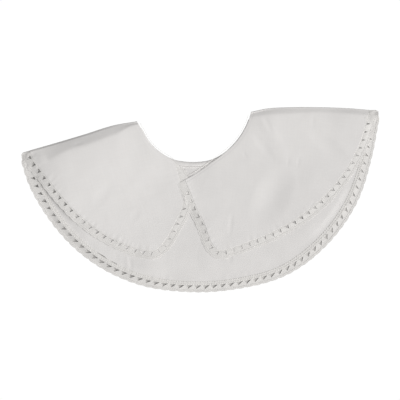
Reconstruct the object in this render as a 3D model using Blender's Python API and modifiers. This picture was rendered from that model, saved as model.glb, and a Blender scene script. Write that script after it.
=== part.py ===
"""Detachable cotton collar with a narrow lace edge, folded at both shoulders and laid flat.

The back panel lies on the table with its inner side up. The two fronts are folded over it at the shoulders, with
their outer sides up, and the neck corner of the right front laps over the left one. The lace is one strip that is
sewn to the inner side of the edge: from the left front's neck corner round its tip, over the left shoulder, along
the hem, over the right shoulder, and round the right front's tip to its neck corner.

Left and right are as seen from above. Outlines are (x, y) in millimetres, from the middle of the collar.
"""

import math

import bmesh
import bpy
import numpy as np

MM = 0.001

# Thicknesses and gaps, in millimetres
CLOTH = 1.0  # the cotton with the fullness of its crumple, and the lace
SEAM_GAP = 0.3  # between pieces that are sewn edge to edge, and under the binding
LAYER_GAP = 0.7  # between a front and the back that it lies on
FOLD_RADIUS = 0.75  # of the middle of the cloth, in a pressed shoulder fold
SEAM_INSET = 9.0  # from a shoulder fold to the shoulder seam under it
FLOOR_LEVEL = CLOTH / 2  # of the middle of a layer that lies on the table
FRONT_LEVEL = FLOOR_LEVEL + CLOTH + LAYER_GAP

# Rises of the fronts over what lies under them, in millimetres
NECK_RISE, NECK_WIDTH, NECK_FADE = 1.2, 10.0, 22.0  # over the binding
LAP_RISE, LAP_RADIUS, LAP_FADE = 1.5, 34.0, 42.0  # of the right front over the left
LAP_CENTRE = (-18.8, 10.0)
ROLL_FADE = 48.0  # from the crown of a shoulder roll to where the front lies flat
HEM_FADE = 18.0  # the back's waves die out this near its hem

# Waves of the back panel that show as light and shade, in millimetres and degrees
# x, y, half length, half width, turn, height
BACK_WAVES = (
    (-167.0, -4.0, 70.0, 28.0, -52.0, 2.8),
    (150.0, -22.0, 72.0, 30.0, 50.0, 3.4),
    (-62.0, -82.0, 38.0, 14.0, -76.0, 1.0),
)

# Outlines of the back panel
NECK_EDGE = (
    (-78.8, 98.0), (-71.9, 86.9), (-62.5, 71.2), (-50.0, 59.4), (-35.0, 50.9), (-17.5, 47.3),
    (-2.5, 47.1), (12.5, 49.4), (27.5, 56.5), (41.2, 68.4), (51.2, 80.9), (59.4, 96.2), (63.8, 109.8),
)
HEM_EDGE = (
    (-209.6, 61.3), (-198.2, 24.0), (-167.5, -27.0), (-125.0, -66.5), (-73.0, -92.0), (-15.0, -101.2),
    (44.0, -97.5), (100.0, -82.0), (145.0, -49.0), (180.0, -2.5), (200.0, 52.0), (210.2, 112.3),
)

# The fronts. Each outline starts at the shoulder fold. A crown is the highest line of the shoulder roll, as its
# distance from the fold and its rise, at the neck end and at the hem end of the fold.
FRONTS = {
    "left": {
        "side": -1,
        "fold": ((-78.8, 98.0), (-105.0, 93.7), (-145.0, 81.5), (-185.0, 69.6), (-213.0, 61.6)),
        "neck": ((-78.8, 98.0), (-71.9, 86.9), (-62.5, 71.2), (-50.0, 59.4), (-37.5, 51.6), (-31.0, 46.4)),
        "outer": (
            (-213.0, 61.6), (-207.5, 51.5), (-196.5, 36.2), (-170.5, 3.0), (-141.5, -25.8), (-106.5, -48.3),
            (-66.2, -62.2),
        ),
        "tip": (-56.2, -62.5),
        "opening": (
            (-48.8, -56.6), (-42.5, -48.1), (-33.8, -32.5), (-25.0, -15.0), (-20.6, 1.2), (-23.6, 17.5),
            (-27.8, 33.0), (-31.0, 46.4),
        ),
        "crown": ((5.0, 1.4), (12.0, 3.2)),
        "lace_lean": 0.74,
    },
    "right": {
        "side": 1,
        "fold": ((63.8, 109.8), (82.5, 113.8), (112.5, 115.6), (150.0, 115.6), (187.5, 114.2), (211.5, 112.3)),
        "neck": (
            (63.8, 109.8), (59.4, 96.2), (51.2, 80.9), (41.2, 68.4), (27.5, 56.5), (15.0, 47.5), (-0.9, 35.9),
            (-18.6, 25.4),
        ),
        "outer": (
            (211.5, 112.3), (208.0, 101.0), (199.0, 71.0), (188.1, 48.8), (163.1, 14.1), (130.4, -15.5),
            (95.8, -36.6), (58.8, -52.4), (40.0, -59.0),
        ),
        "tip": (21.9, -61.9),
        "opening": (
            (16.2, -55.6), (11.2, -45.0), (5.0, -27.5), (-3.1, -11.9), (-10.0, 4.4), (-18.6, 25.4),
        ),
        "crown": ((5.0, 1.8), (6.0, 2.0)),
        "lace_lean": 0.26,
    },
}

# Sections: shares of the way from the neck edge to the outer edge, and millimetres in from the shoulder fold
ACROSS = (0.0, 0.05, 0.14, 0.26, 0.38, 0.5, 0.62, 0.74, 0.85, 0.93, 0.98, 1.0)
BINDING_SECTIONS = 2  # the binding covers the first strip of them
FOLD_ANGLES = (-90, -45, 0, 45, 90)
ROLL_SECTIONS = (3.0, 6.0, 9.0, 12.0, 17.0, 24.0)
OPENING_SECTIONS = 20
BACK_SECTIONS = 38

# The lace, in millimetres. Its rows are measured in from its outer edge.
LACE_REPEAT = 10.6
BACK_LACE_WIDTH = 14.5
FRONT_LACE_WIDTH = 10.9
SCALLOP_DEPTH = 0.9
HOLE_TIP, HOLE_BASE = 4.8, 9.5
HOLE_START, HOLE_END = 0.09, 0.91  # shares of a repeat
SCALLOP = ((0.0, 1.0), (0.25, 0.25), (0.5, 0.0), (0.75, 0.25), (1.0, 1.0))  # share of a repeat, of its depth
PLAIN_LACE = 3.0  # the lace has no hole this near a shoulder fold
LEAN_LENGTH = 14.0  # the lace turns from square to slanting over this length at its ends
LACE_BEND = 12.0  # degrees that one straight of its inner edge may turn
BACK_LACE_LEAN = 0.26  # where the tip of a hole is, as a share of its base

FINE = 400  # points on an outline that is measured along


def smooth(x):
    x = np.clip(x, 0.0, 1.0)
    return x * x * (3.0 - 2.0 * x)


def unit(vectors):
    return vectors / np.linalg.norm(vectors, axis=-1, keepdims=True)


def lengths_along(line):
    return np.r_[0.0, np.cumsum(np.linalg.norm(np.diff(line, axis=0), axis=1))]


def at_lengths(line, lengths):
    along = lengths_along(line)
    return np.stack([np.interp(lengths, along, line[:, k]) for k in range(line.shape[1])], axis=1)


def at_shares(line, shares):
    return at_lengths(line, np.asarray(shares) * lengths_along(line)[-1])


def through(points, count=FINE):
    """A smooth curve through the points, as evenly spaced points."""
    points = np.array(points, float)
    knots = lengths_along(points)
    slopes = np.gradient(points, knots, axis=0)
    at = np.linspace(0.0, knots[-1], 4 * count)
    i = np.clip(np.searchsorted(knots, at, side="right") - 1, 0, len(knots) - 2)
    span = (knots[i + 1] - knots[i])[:, None]
    w = (at - knots[i])[:, None] / span
    start = points[i] * (1 + 2 * w) * (1 - w) ** 2 + slopes[i] * span * w * (1 - w) ** 2
    end = points[i + 1] * w * w * (3 - 2 * w) + slopes[i + 1] * span * w * w * (w - 1)
    return at_shares(start + end, np.linspace(0.0, 1.0, count))


def distance_to(line, places):
    flat = places.reshape(-1, 2)
    nearest = np.linalg.norm(flat[:, None, :] - line[None, :, :], axis=2).min(axis=1)
    return nearest.reshape(places.shape[:-1])


def patch(first, last, start, end):
    """Places inside four edges: from first to last section, each running from the start to the end edge."""
    u = np.linspace(0.0, 1.0, len(start))[:, None, None]
    v = np.array(ACROSS)[None, :, None]
    between_sections = (1 - u) * first[None] + u * last[None]
    between_edges = (1 - v) * start[:, None] + v * end[:, None]
    corners = (1 - u) * ((1 - v) * first[0] + v * first[-1]) + u * ((1 - v) * last[0] + v * last[-1])
    return between_sections + between_edges - corners


class Fold:
    """A shoulder fold, seen from above: distances from it are measured square to its chord."""

    def __init__(self, points):
        line = through(points)
        self.neck_end = line[0]
        self.length = np.linalg.norm(line[-1] - line[0])
        self.along = (line[-1] - line[0]) / self.length
        square = np.array((self.along[1], -self.along[0]))
        self.inward = square if square[1] < 0 else -square
        self.places = (line - self.neck_end) @ self.along
        self.bow = (line - self.neck_end) @ self.inward

    def share(self, places):
        return np.clip((places - self.neck_end) @ self.along / self.length, 0.0, 1.0)

    def distance(self, places):
        away = places - self.neck_end
        return away @ self.inward - np.interp(away @ self.along, self.places, self.bow)

    def leave(self, line, distance):
        """How far along an edge that starts at the fold it is this far from the fold."""
        away = self.distance(line)
        rising = int(np.argmax(away)) + 1
        return np.interp(distance, away[:rising], lengths_along(line)[:rising])

    def section(self, neck, outer, distance):
        """Places along a line beside the fold, between the neck edge and the outer edge."""
        start = at_lengths(neck, [self.leave(neck, distance)])
        end = at_lengths(outer, [self.leave(outer, distance)])
        places = start + (end - start) * np.array(ACROSS)[:, None]
        return places + (distance - self.distance(places))[:, None] * self.inward


def wave(places, x, y, half_length, half_width, turn, height):
    turn = math.radians(turn)
    away = places - np.array((x, y))
    along = away @ np.array((math.cos(turn), math.sin(turn))) / half_length
    across = away @ np.array((-math.sin(turn), math.cos(turn))) / half_width
    return height * np.clip(1.0 - along**2 - across**2, 0.0, 1.0) ** 2


def back_rise(places):
    waves = sum(wave(places, *row) for row in BACK_WAVES)
    return waves * smooth(distance_to(back_hem, places) / HEM_FADE)


def front_level(side, places):
    """Height of the middle of a front's cloth or lace above the table, on the top of the fold."""
    front, fold = FRONTS[side], folds[side]
    inward = fold.distance(places)
    share = fold.share(places)
    crown_in, crown_rise = (a + (b - a) * share for a, b in zip(*front["crown"]))
    up = np.sin(np.clip((inward - FOLD_RADIUS) / (crown_in - FOLD_RADIUS), 0.0, 1.0) * math.pi / 2)
    roll = crown_rise * up * (1.0 - smooth((inward - crown_in) / ROLL_FADE))
    neck = NECK_RISE * up * (1.0 - smooth((distance_to(back_neck, places) - NECK_WIDTH) / NECK_FADE))
    level = FRONT_LEVEL + back_rise(places) + roll + neck
    if side == "right":
        from_lap = np.linalg.norm(places - np.array(LAP_CENTRE), axis=-1)
        level = level + LAP_RISE * (1.0 - smooth((from_lap - LAP_RADIUS) / LAP_FADE))
    return level


def fold_arc():
    """The middle of the cloth round a pressed fold: distance from the fold, and height."""
    for angle in map(math.radians, FOLD_ANGLES):
        yield FOLD_RADIUS * (1 - math.cos(angle)), FLOOR_LEVEL + FOLD_RADIUS * (1 + math.sin(angle))


def with_level(places, level):
    return np.concatenate([places, np.broadcast_to(level, places.shape[:-1])[..., None]], axis=-1)


def cotton(name, colour, roughness=0.9):
    material = bpy.data.materials.new(name)
    material.use_nodes = True
    shader = material.node_tree.nodes["Principled BSDF"]
    shader.inputs["Base Color"].default_value = (*colour, 1.0)
    shader.inputs["Roughness"].default_value = roughness
    material.diffuse_color = (*colour, 1.0)
    return material


def wall(name, mesh, material):
    """An object whose open surface is the middle of a wall of cloth."""
    obj = bpy.data.objects.new(name, mesh)
    collection.objects.link(obj)
    mesh.materials.append(material)
    thickness = obj.modifiers.new("Thickness", "SOLIDIFY")
    thickness.thickness = CLOTH * MM
    thickness.offset = 0.0
    return obj


def sheet(name, sections, material):
    """A wall lofted through its sections, each a row of points."""
    bm = bmesh.new()
    rows = [[bm.verts.new(point * MM) for point in section] for section in sections]
    for row, following in zip(rows, rows[1:]):
        for k in range(len(row) - 1):
            bm.faces.new((row[k], row[k + 1], following[k + 1], following[k]))
    return finished(name, bm, material)


def finished(name, bm, material):
    bmesh.ops.recalc_face_normals(bm, faces=bm.faces)
    mesh = bpy.data.meshes.new(name)
    bm.to_mesh(mesh)
    bm.free()
    mesh.shade_smooth()
    return wall(name, mesh, material)


def front_sections(side):
    """A front from its shoulder seam, under the fold and over it, to its opening edge."""
    fold, neck, rim = folds[side], necks[side], rims[side]
    sections = [with_level(fold.section(neck_from[side], hem_from[side], SEAM_INSET), FLOOR_LEVEL)]
    for inward, level in fold_arc():
        sections.append(with_level(fold.section(neck, rim, inward), level))
    for inward in ROLL_SECTIONS:
        places = fold.section(neck, rim, inward)
        sections.append(with_level(places, front_level(side, places)))
    last_roll = sections[-1][:, :2]
    neck_end = lengths_along(neck)[-1]
    rim_end = lengths_along(rim)[-1]
    to_tip = np.linalg.norm(rim - np.array(FRONTS[side]["tip"]), axis=1)
    tip = lengths_along(rim)[int(np.argmin(to_tip))]
    shares = np.linspace(0.0, 1.0, OPENING_SECTIONS)
    start = at_lengths(neck, fold.leave(neck, ROLL_SECTIONS[-1]) * (1 - shares) + neck_end * shares)
    # Sections crowd towards the opening edge, where the tip is round.
    crowded = (shares + np.sin(shares * math.pi / 2)) / 2
    end = at_lengths(rim, fold.leave(rim, ROLL_SECTIONS[-1]) * (1 - crowded) + tip * crowded)
    opening = at_lengths(rim, rim_end + (tip - rim_end) * np.array(ACROSS))
    places = patch(last_roll, opening, start, end)[1:]
    return sections + list(with_level(places, front_level(side, places)))


def back_sections():
    """The back panel from the left shoulder seam to the right one."""
    inset = SEAM_INSET + SEAM_GAP
    first = folds["left"].section(back_neck, back_hem, inset)
    last = folds["right"].section(back_neck[::-1], back_hem[::-1], inset)
    shares = np.linspace(0.0, 1.0, BACK_SECTIONS)
    edges = []
    for line in (back_neck, back_hem):
        begin = folds["left"].leave(line, inset)
        finish = lengths_along(line)[-1] - folds["right"].leave(line[::-1], inset)
        edges.append(at_lengths(line, begin + (finish - begin) * shares))
    places = patch(first, last, *edges)
    return with_level(places, FLOOR_LEVEL + back_rise(places))


def square_to(line, side):
    """Unit vectors out of a line, to the left of its run for side 1 and to the right for side -1."""
    run = unit(np.gradient(line, axis=0))
    return side * np.stack([-run[:, 1], run[:, 0]], axis=1)


def lace_edges(line, side, width, start, end):
    """The two edges of lace beside a line. Across it the lace is square to the line, and slants at its two ends."""
    along = lengths_along(line)[:, None]
    to_start = 1.0 - smooth(along / LEAN_LENGTH)
    to_end = 1.0 - smooth((along[-1] - along) / LEAN_LENGTH)
    square = square_to(line, side)
    inner = line + square * SEAM_GAP
    out = unit(square * (1 - to_start) * (1 - to_end) + start * to_start + end * to_end)
    return inner, inner + out * width


def lace(name, inner, outer, lean, level_at, material, plain=()):
    """A strip between two edges, in repeats with a slanting three-cornered hole, that follows plain sections."""
    width = np.linalg.norm(inner[0] - outer[0])
    hole_row = outer + (inner - outer) * (HOLE_TIP + HOLE_BASE) / 2 / width
    along = lengths_along(hole_row)
    out = unit(outer - inner)
    repeats = round(along[-1] / LACE_REPEAT)
    tip_share = HOLE_START + (HOLE_END - HOLE_START) * lean
    split = min(range(len(SCALLOP)), key=lambda i: abs(SCALLOP[i][0] - tip_share))
    bm = bmesh.new()

    def between(line, repeat):
        return np.array([np.interp(repeat / repeats * along[-1], along, line[:, k]) for k in (0, 1)])

    def point(repeat, depth):
        """A vertex this many repeats along the strip and this deep inside its outer edge."""
        far = between(outer, repeat)
        place = far + (between(inner, repeat) - far) * depth / width
        return bm.verts.new(np.append(place, level_at(place)) * MM)

    side = None
    for section in plain:
        verts = [bm.verts.new(place * MM) for place in section]
        if side:
            bm.faces.new((*side, *reversed(verts)))
        side = verts
    side = side or [point(0, width), point(0, SCALLOP_DEPTH)]
    for k in range(repeats):
        turn = math.degrees(math.acos(min(1.0, unit(between(out, k)) @ unit(between(out, k + 1)))))
        steps = max(1, math.ceil(turn / LACE_BEND))
        header = [side[0]] + [point(k + (j + 1) / steps, width) for j in range(steps)]
        edge = [side[1]] + [point(k + share, SCALLOP_DEPTH * depth) for share, depth in SCALLOP[1:]]
        first, second = (point(k + share, HOLE_BASE) for share in (HOLE_START, HOLE_END))
        tip = point(k + tip_share, HOLE_TIP)
        bm.faces.new((*header, second, first))
        bm.faces.new((header[0], first, tip, *reversed(edge[: split + 1])))
        bm.faces.new((header[-1], *reversed(edge[split:]), tip, second))
        side = [header[-1], edge[-1]]
    return finished(name, bm, material)


def front_lace(side, material):
    """The lace of a front, from the shoulder seam round the fold and the tip to the neck corner."""
    front, fold, rim = FRONTS[side], folds[side], rims[side]

    def beside(place, width):
        near = place + fold.along * SEAM_GAP
        return np.stack([near, near + fold.along * width])

    seam_end = at_lengths(hem_from[side], [fold.leave(hem_from[side], SEAM_INSET)])[0]
    plain = [with_level(beside(seam_end, BACK_LACE_WIDTH), FLOOR_LEVEL)]
    for inward, level in fold_arc():
        place = at_lengths(rim, [fold.leave(rim, inward)])[0]
        plain.append(with_level(beside(place, FRONT_LACE_WIDTH), level))
    line = at_lengths(rim, np.linspace(fold.leave(rim, PLAIN_LACE), lengths_along(rim)[-1], FINE))
    neck_run = unit(necks[side][-1] - necks[side][-2])
    inner, outer = lace_edges(line, front["side"], FRONT_LACE_WIDTH, fold.along, neck_run)
    places = np.stack([inner[0], outer[0]])
    plain.append(with_level(places, front_level(side, places)))

    def level_at(place):
        return front_level(side, place)

    return lace(f"{side}_front_lace", inner, outer, front["lace_lean"], level_at, material, plain)


def back_lace(material):
    """The lace along the hem, from the left shoulder seam to the right one."""
    inset = SEAM_INSET + SEAM_GAP
    left, right = folds["left"], folds["right"]
    begin = left.leave(back_hem, inset)
    finish = lengths_along(back_hem)[-1] - right.leave(back_hem[::-1], inset)
    line = at_lengths(back_hem, np.linspace(begin, finish, FINE))
    inner, outer = lace_edges(line, -1, BACK_LACE_WIDTH, left.along, right.along)
    return lace("back_lace", inner, outer, BACK_LACE_LEAN, lambda place: FLOOR_LEVEL, material)


for old in list(bpy.data.objects):
    bpy.data.objects.remove(old, do_unlink=True)
collection = bpy.data.collections.new("Detachable collar")
bpy.context.scene.collection.children.link(collection)

back_neck = through(NECK_EDGE)
back_hem = through(HEM_EDGE)
neck_from = {"left": back_neck, "right": back_neck[::-1]}
hem_from = {"left": back_hem, "right": back_hem[::-1]}
folds = {side: Fold(front["fold"]) for side, front in FRONTS.items()}
necks = {side: through(front["neck"]) for side, front in FRONTS.items()}
rims = {
    side: through(front["outer"] + (front["tip"],) + front["opening"])
    for side, front in FRONTS.items()
}

back = back_sections()
sheet("back_panel", back, cotton("Cotton of the back", (0.68, 0.68, 0.67)))
binding = back[:, :BINDING_SECTIONS] + np.array((0.0, 0.0, CLOTH + SEAM_GAP))
sheet("back_neck_binding", binding, cotton("Cotton of the binding", (0.62, 0.62, 0.61)))
back_lace(cotton("Cotton lace of the hem", (0.66, 0.66, 0.65)))
for side in FRONTS:
    sheet(f"{side}_front", front_sections(side), cotton(f"Cotton of the {side} front", (0.7, 0.7, 0.69)))
    front_lace(side, cotton(f"Cotton lace of the {side} front", (0.66, 0.66, 0.65)))
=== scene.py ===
"""Looks of a detachable cotton collar with a narrow lace edge, folded at both shoulders and laid flat.

The pieces follow each other as the collar is sewn: the back, its neck binding, the lace along its hem, the
two fronts, their lace, and the stitching. Left and right are as seen from above. Sizes are in millimetres.
"""

import math

import bmesh
import bpy
import numpy as np
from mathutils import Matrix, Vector, noise


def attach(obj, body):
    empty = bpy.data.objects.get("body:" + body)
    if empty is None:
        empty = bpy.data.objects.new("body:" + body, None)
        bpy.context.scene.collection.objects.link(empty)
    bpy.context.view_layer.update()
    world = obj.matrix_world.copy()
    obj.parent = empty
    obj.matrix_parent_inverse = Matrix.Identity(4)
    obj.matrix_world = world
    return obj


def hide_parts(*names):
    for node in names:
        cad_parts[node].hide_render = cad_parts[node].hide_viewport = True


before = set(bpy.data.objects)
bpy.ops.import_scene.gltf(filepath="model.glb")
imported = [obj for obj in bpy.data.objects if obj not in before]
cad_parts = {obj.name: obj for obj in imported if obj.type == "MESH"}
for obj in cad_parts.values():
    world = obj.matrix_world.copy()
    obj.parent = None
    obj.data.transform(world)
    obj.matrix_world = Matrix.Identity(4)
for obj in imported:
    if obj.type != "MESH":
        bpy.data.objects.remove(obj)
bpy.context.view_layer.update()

# The back panel
# One round-necked piece of white plain-woven cotton from shoulder seam to shoulder seam. It lies on the table
# with its inner side up, in a few low waves, and its raw hem goes 3 mm under the header of the lace. To the
# left the hem is lifted off the table.

MM = 0.001
FINE = 400  # points on an outline that is measured along
CLOTH = 0.45  # thickness of the cotton
BACK_LEVEL = 0.4  # of the middle of the cloth above the table
LOWEST = 0.28  # its creases go no deeper than this, so that its underside stays on the table
SEAM_INSET = 9.0  # from a shoulder fold to the shoulder seam under it
SEAM_GAP = 0.3  # between two pieces that are sewn together
HEM_UNDER_LACE = 3.3

NECK_EDGE = (
    (-78.8, 98.0), (-71.9, 86.9), (-62.5, 71.2), (-50.0, 59.4), (-35.0, 50.9), (-17.5, 47.3),
    (-2.5, 47.1), (12.5, 49.4), (27.5, 56.5), (41.2, 68.4), (51.2, 80.9), (59.4, 96.2), (63.8, 109.8),
)
HEM_EDGE = (
    (-209.6, 61.3), (-198.2, 24.0), (-167.5, -27.0), (-125.0, -66.5), (-73.0, -92.0), (-15.0, -101.2),
    (44.0, -97.5), (100.0, -82.0), (145.0, -49.0), (180.0, -2.5), (200.0, 52.0), (210.2, 112.3),
)
FOLD_LINES = {
    "left": ((-78.8, 98.0), (-105.0, 93.7), (-145.0, 81.5), (-185.0, 69.6), (-213.0, 61.6)),
    "right": ((63.8, 109.8), (82.5, 113.8), (112.5, 115.6), (150.0, 115.6), (187.5, 114.2), (211.5, 112.3)),
}

# Low waves of the back: x, y, half length, half width, turn in degrees, height
BACK_WAVES = (
    (-166.0, -4.0, 78.0, 28.0, -52.0, 1.3),
    (152.0, -17.0, 70.0, 24.0, 44.0, 0.8),
    (-62.0, -82.0, 38.0, 22.0, -76.0, 0.5),
)
HEM_FADE = 9.0  # the waves die out this near the hem
# How high the hem stands off the table: share of it from the left shoulder, and rise
HEM_LIFT = (
    (0.0, 0.3), (0.05, 1.5), (0.12, 1.1), (0.36, 1.2), (0.5, 0.75), (0.62, 0.3), (0.7, 0.2), (0.8, 0.35),
    (0.93, 0.35), (1.0, 0.1),
)
LIFT_FLAT, LIFT_REACH = 20.0, 60.0  # it holds for the first distance in from the hem, and fades over the next
# Where the lace has come loose and slipped off the cloth: share of the hem, and how far (1 is clear of it)
LOOSE_SEAM = (
    (0.24, 0.0), (0.246, 0.8), (0.26, 1.0), (0.272, 0.6), (0.285, 0.9), (0.3, 0.6), (0.306, 0.0),
    (0.68, 0.0), (0.69, 0.4), (0.72, 0.35), (0.73, 0.0),
)
SLIT = 1.1  # between the cloth and the lace there

# Creases of the back that show below the fronts and in the neck, in the same columns
BACK_CREASES = (
    (-86.5, -80.0, 12.0, 2.8, -84.0, -0.3),
    (-91.0, -78.0, 11.0, 3.4, -84.0, 0.15),
    (-104.0, -70.0, 7.0, 2.2, -80.0, -0.15),
    (12.0, -78.0, 26.0, 17.0, -72.0, 0.4),
    (38.0, -72.0, 10.0, 2.2, 82.0, -0.3),
    (-6.0, 34.0, 24.0, 14.0, -35.0, 0.4),
)


def smooth(x):
    x = np.clip(x, 0.0, 1.0)
    return x * x * (3.0 - 2.0 * x)


def unit(vectors):
    return vectors / np.linalg.norm(vectors, axis=-1, keepdims=True)


def lengths_along(line):
    return np.r_[0.0, np.cumsum(np.linalg.norm(np.diff(line, axis=0), axis=1))]


def at_lengths(line, lengths):
    along = lengths_along(line)
    return np.stack([np.interp(lengths, along, line[:, k]) for k in range(line.shape[1])], axis=1)


def at_shares(line, shares):
    return at_lengths(line, np.asarray(shares) * lengths_along(line)[-1])


def through(points, count=FINE):
    """A smooth curve through the points, as evenly spaced points."""
    points = np.array(points, float)
    knots = lengths_along(points)
    slopes = np.gradient(points, knots, axis=0)
    at = np.linspace(0.0, knots[-1], 4 * count)
    i = np.clip(np.searchsorted(knots, at, side="right") - 1, 0, len(knots) - 2)
    span = (knots[i + 1] - knots[i])[:, None]
    w = (at - knots[i])[:, None] / span
    start = points[i] * (1 + 2 * w) * (1 - w) ** 2 + slopes[i] * span * w * (1 - w) ** 2
    end = points[i + 1] * w * w * (3 - 2 * w) + slopes[i + 1] * span * w * w * (w - 1)
    return at_shares(start + end, np.linspace(0.0, 1.0, count))


def square_to(line, side):
    """Unit vectors out of a line, to the left of its run for side 1 and to the right for side -1."""
    run = unit(np.gradient(line, axis=0))
    return side * np.stack([-run[:, 1], run[:, 0]], axis=1)


def beside(line, places):
    """How far the places are from a line, and how far along it."""
    flat = places.reshape(-1, 2)
    away = np.hypot(flat[:, :1] - line[None, :, 0], flat[:, 1:] - line[None, :, 1])
    nearest = away.argmin(axis=1)
    shape = places.shape[:-1]
    return away.min(axis=1).reshape(shape), lengths_along(line)[nearest].reshape(shape)


def patch(first, last, start, end):
    """Places inside four edges: from first to last section, each running from the start to the end edge."""
    u = np.linspace(0.0, 1.0, len(start))[:, None, None]
    v = np.linspace(0.0, 1.0, len(first))[None, :, None]
    between_sections = (1 - u) * first[None] + u * last[None]
    between_edges = (1 - v) * start[:, None] + v * end[:, None]
    corners = (1 - u) * ((1 - v) * first[0] + v * first[-1]) + u * ((1 - v) * last[0] + v * last[-1])
    return between_sections + between_edges - corners


class Fold:
    """A shoulder fold, seen from above: distances from it are measured square to its chord."""

    def __init__(self, points):
        line = through(points)
        self.neck_end = line[0]
        self.length = np.linalg.norm(line[-1] - line[0])
        self.along = (line[-1] - line[0]) / self.length
        square = np.array((self.along[1], -self.along[0]))
        self.inward = square if square[1] < 0 else -square
        self.places = (line - self.neck_end) @ self.along
        self.bow = (line - self.neck_end) @ self.inward

    def share(self, places):
        return np.clip((places - self.neck_end) @ self.along / self.length, 0.0, 1.0)

    def distance(self, places):
        away = places - self.neck_end
        return away @ self.inward - np.interp(away @ self.along, self.places, self.bow)

    def leave(self, line, distance):
        """How far along an edge that starts at the fold it is this far from the fold."""
        away = self.distance(line)
        rising = int(np.argmax(away)) + 1
        return np.interp(distance, away[:rising], lengths_along(line)[:rising])

    def section(self, neck, outer, distance, count):
        """Places along a line beside the fold, between the neck edge and the outer edge."""
        start = at_lengths(neck, [self.leave(neck, distance)])
        end = at_lengths(outer, [self.leave(outer, distance)])
        places = start + (end - start) * np.linspace(0.0, 1.0, count)[:, None]
        return places + (distance - self.distance(places))[:, None] * self.inward


def waves(places, rows):
    """Soft ridges, and troughs where the height is negative."""
    total = np.zeros(places.shape[:-1])
    for x, y, half_length, half_width, turn, height in rows:
        turn = math.radians(turn)
        away = places - np.array((x, y))
        along = away @ np.array((math.cos(turn), math.sin(turn))) / half_length
        across = away @ np.array((-math.sin(turn), math.cos(turn))) / half_width
        total += height * np.clip(1.0 - along**2 - across**2, 0.0, 1.0) ** 2
    return total


def crumple(places, size, height, seed):
    """Unevenness without a direction, of about this size across."""
    flat = places.reshape(-1, 2) / size
    values = [noise.noise(Vector((x, y, seed))) for x, y in flat]
    return height * np.array(values).reshape(places.shape[:-1])


def puckers(line, places, reach, height, seed):
    """Short gathers square to a seam, uneven in spacing and depth."""
    spacing, drift = 4.5, 37.0  # of the gathers, and of the stretches where they are deeper
    away, along = beside(line, places)
    flat = along.ravel()
    quick = np.array([noise.noise(Vector((s / spacing, 0.0, seed))) for s in flat])
    slow = np.array([noise.noise(Vector((s / drift, 7.0, seed))) for s in flat])
    uneven = (quick * (0.6 + 0.8 * np.clip(slow + 0.3, 0.0, 1.0))).reshape(away.shape)
    return height * uneven * (1.0 - smooth(away / reach))


def loose_seam(places):
    """How far the lace has slipped off the hem beside these places."""
    return np.interp(beside(back_hem, places)[1] / lengths_along(back_hem)[-1], *zip(*LOOSE_SEAM))


def hem_lift(places):
    """How far the hem stands off the table beside these places."""
    return np.interp(beside(back_hem, places)[1] / lengths_along(back_hem)[-1], *zip(*HEM_LIFT))


def back_form(places):
    """Height of the middle of the back's cloth above the table, without its small creases."""
    hem_away = beside(back_hem, places)[0]
    rise = waves(places, BACK_WAVES) * smooth(hem_away / HEM_FADE)
    return BACK_LEVEL + rise + hem_lift(places) * (1.0 - smooth((hem_away - LIFT_FLAT) / LIFT_REACH))


def with_level(places, level):
    return np.concatenate([places, np.broadcast_to(level, places.shape[:-1])[..., None]], axis=-1)


def add_grid(bm, rows):
    """A surface through rows of points."""
    verts = [[bm.verts.new((x * MM, y * MM, z * MM)) for x, y, z in row] for row in rows.tolist()]
    faces = []
    for row, following in zip(verts, verts[1:]):
        for k in range(len(row) - 1):
            faces.append(bm.faces.new((row[k], row[k + 1], following[k + 1], following[k])))
    return faces


def piece(name, bm, material, sharp=60.0):
    """Makes the object, on the collar's one body."""
    mesh = bpy.data.meshes.new(name)
    bm.to_mesh(mesh)
    bm.free()
    mesh.shade_smooth()
    mesh.set_sharp_from_angle(angle=math.radians(sharp))
    mesh.materials.append(material)
    obj = bpy.data.objects.new(name, mesh)
    bpy.context.scene.collection.objects.link(obj)
    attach(obj, "root")
    return obj


def cloth(name, rows, material):
    """A closed thin shell whose middle goes through the rows."""
    bm = bmesh.new()
    faces = add_grid(bm, rows)
    bmesh.ops.recalc_face_normals(bm, faces=faces)
    bm.normal_update()
    for vert in bm.verts:
        vert.co += vert.normal * (CLOTH / 2 * MM)
    bmesh.ops.solidify(bm, geom=faces, thickness=CLOTH * MM)
    return piece(name, bm, material)


def linear(colour):
    """An sRGB hex colour as linear red, green, blue and alpha."""
    parts = [int(colour[i : i + 2], 16) / 255 for i in (1, 3, 5)]
    return (*(part / 12.92 if part <= 0.04045 else ((part + 0.055) / 1.055) ** 2.4 for part in parts), 1.0)


def add_node(material, kind, settings=None, links=None):
    """Adds one shader node. Settings are its properties and input values, links feed its inputs."""
    added = material.node_tree.nodes.new(kind)
    for name, value in (settings or {}).items():
        if isinstance(name, int) or name in added.inputs:
            added.inputs[name].default_value = value
        else:
            setattr(added, name, value)
    for name, socket in (links or {}).items():
        material.node_tree.links.new(socket, added.inputs[name])
    return added


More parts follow.
